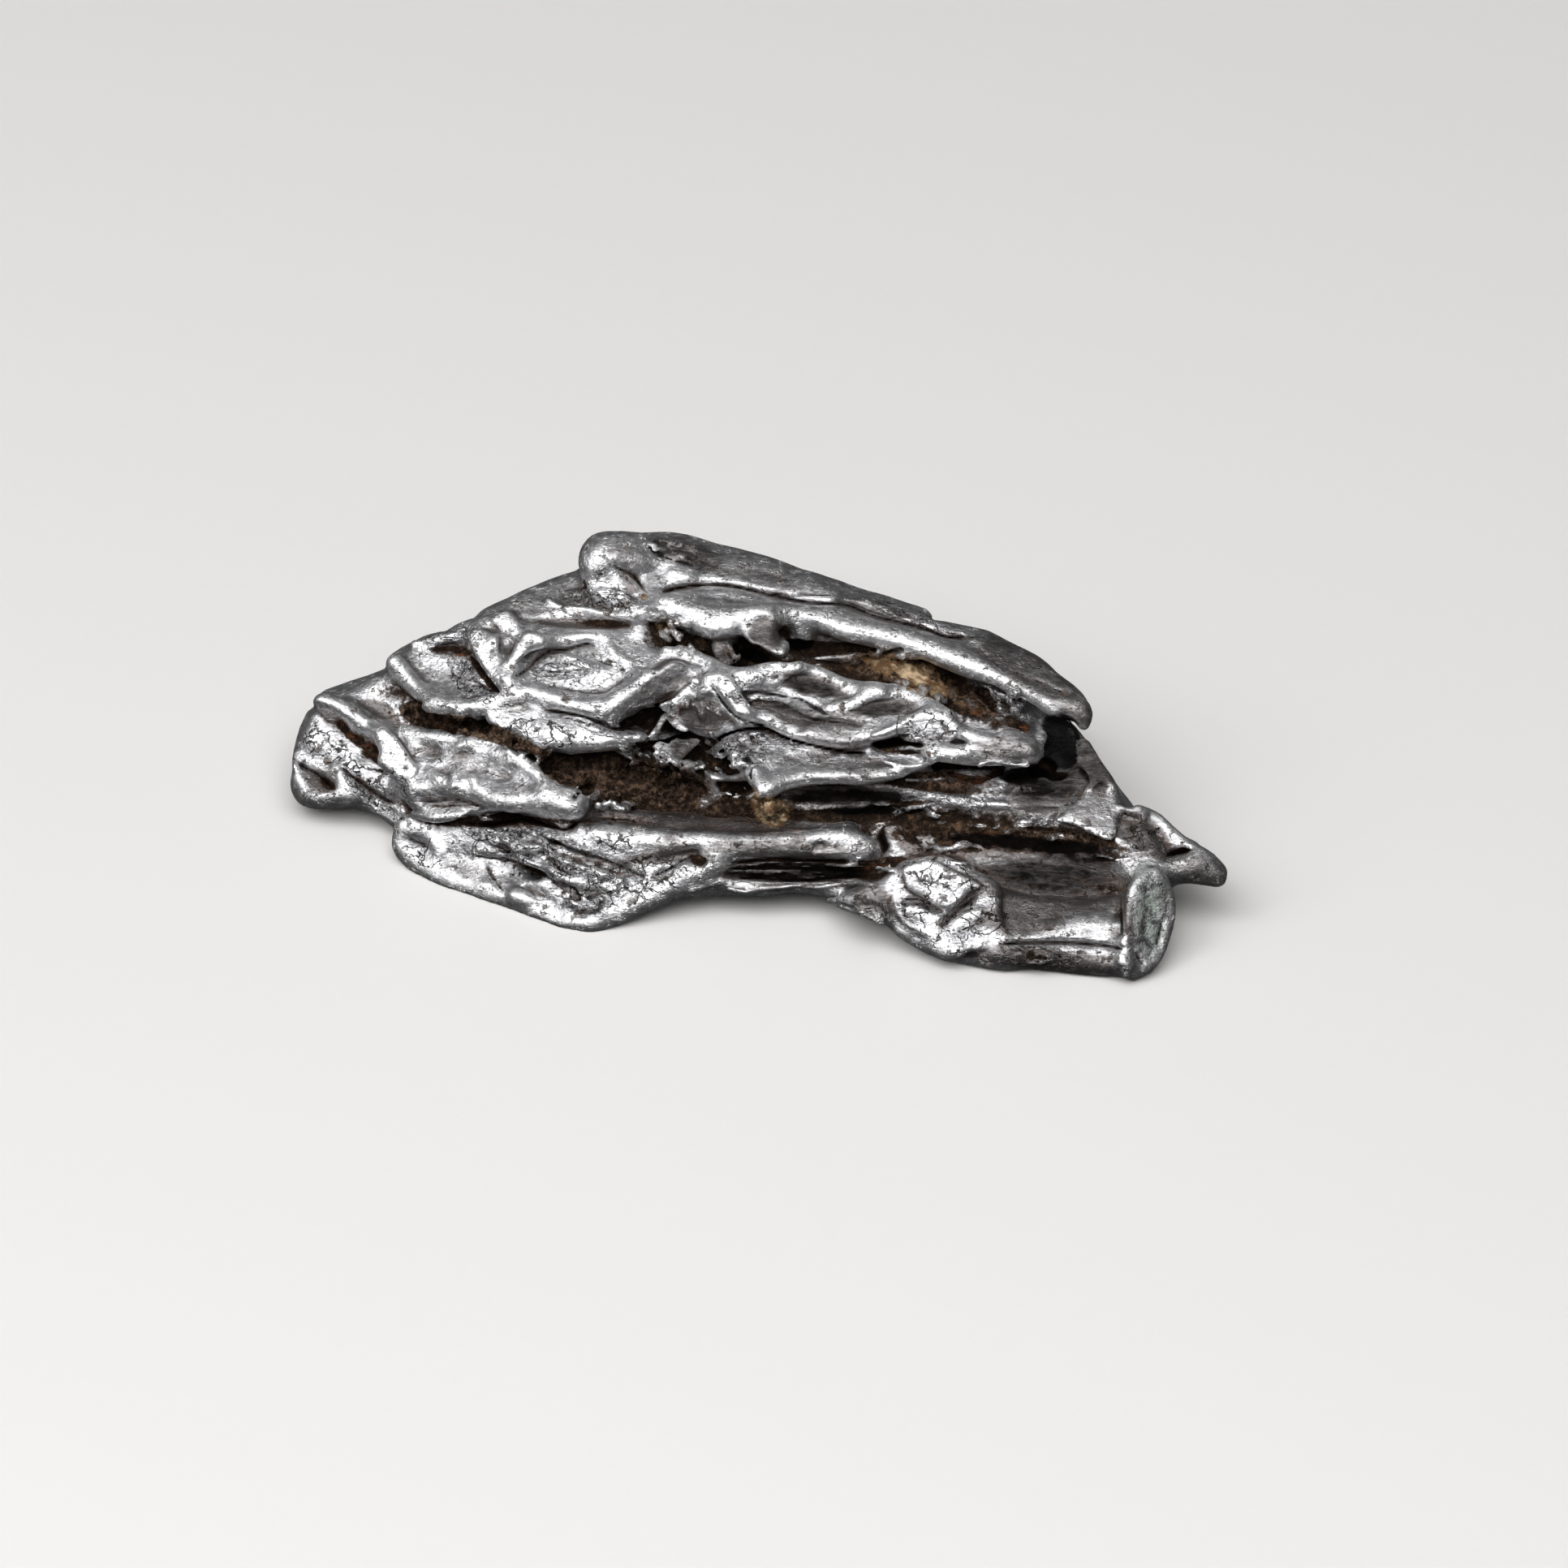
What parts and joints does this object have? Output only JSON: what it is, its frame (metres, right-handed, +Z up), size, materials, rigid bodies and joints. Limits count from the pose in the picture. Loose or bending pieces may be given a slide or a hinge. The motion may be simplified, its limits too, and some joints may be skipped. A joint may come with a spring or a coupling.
{
  "type": "iron meteorite",
  "caption": "Small torn iron meteorite of stacked, round-edged metal lamellae with rust in its hollows, lying on its worn underside.",
  "frame": {"origin": "middle of the bounding box, on the plane that the meteorite rests on", "axes": "+X along the longest extent towards the pointed end, +Y away from the torn face, +Z up"},
  "size_m": [0.0478, 0.0236, 0.013],
  "materials": {
    "meteoritic_iron": "bright worn nickel-iron with dark hairline cracks, umber rust and tan oxide in the hollows"
  },
  "bodies": {
    "root": {"meteorite": "meteoritic_iron"}
  },
  "joints": []
}
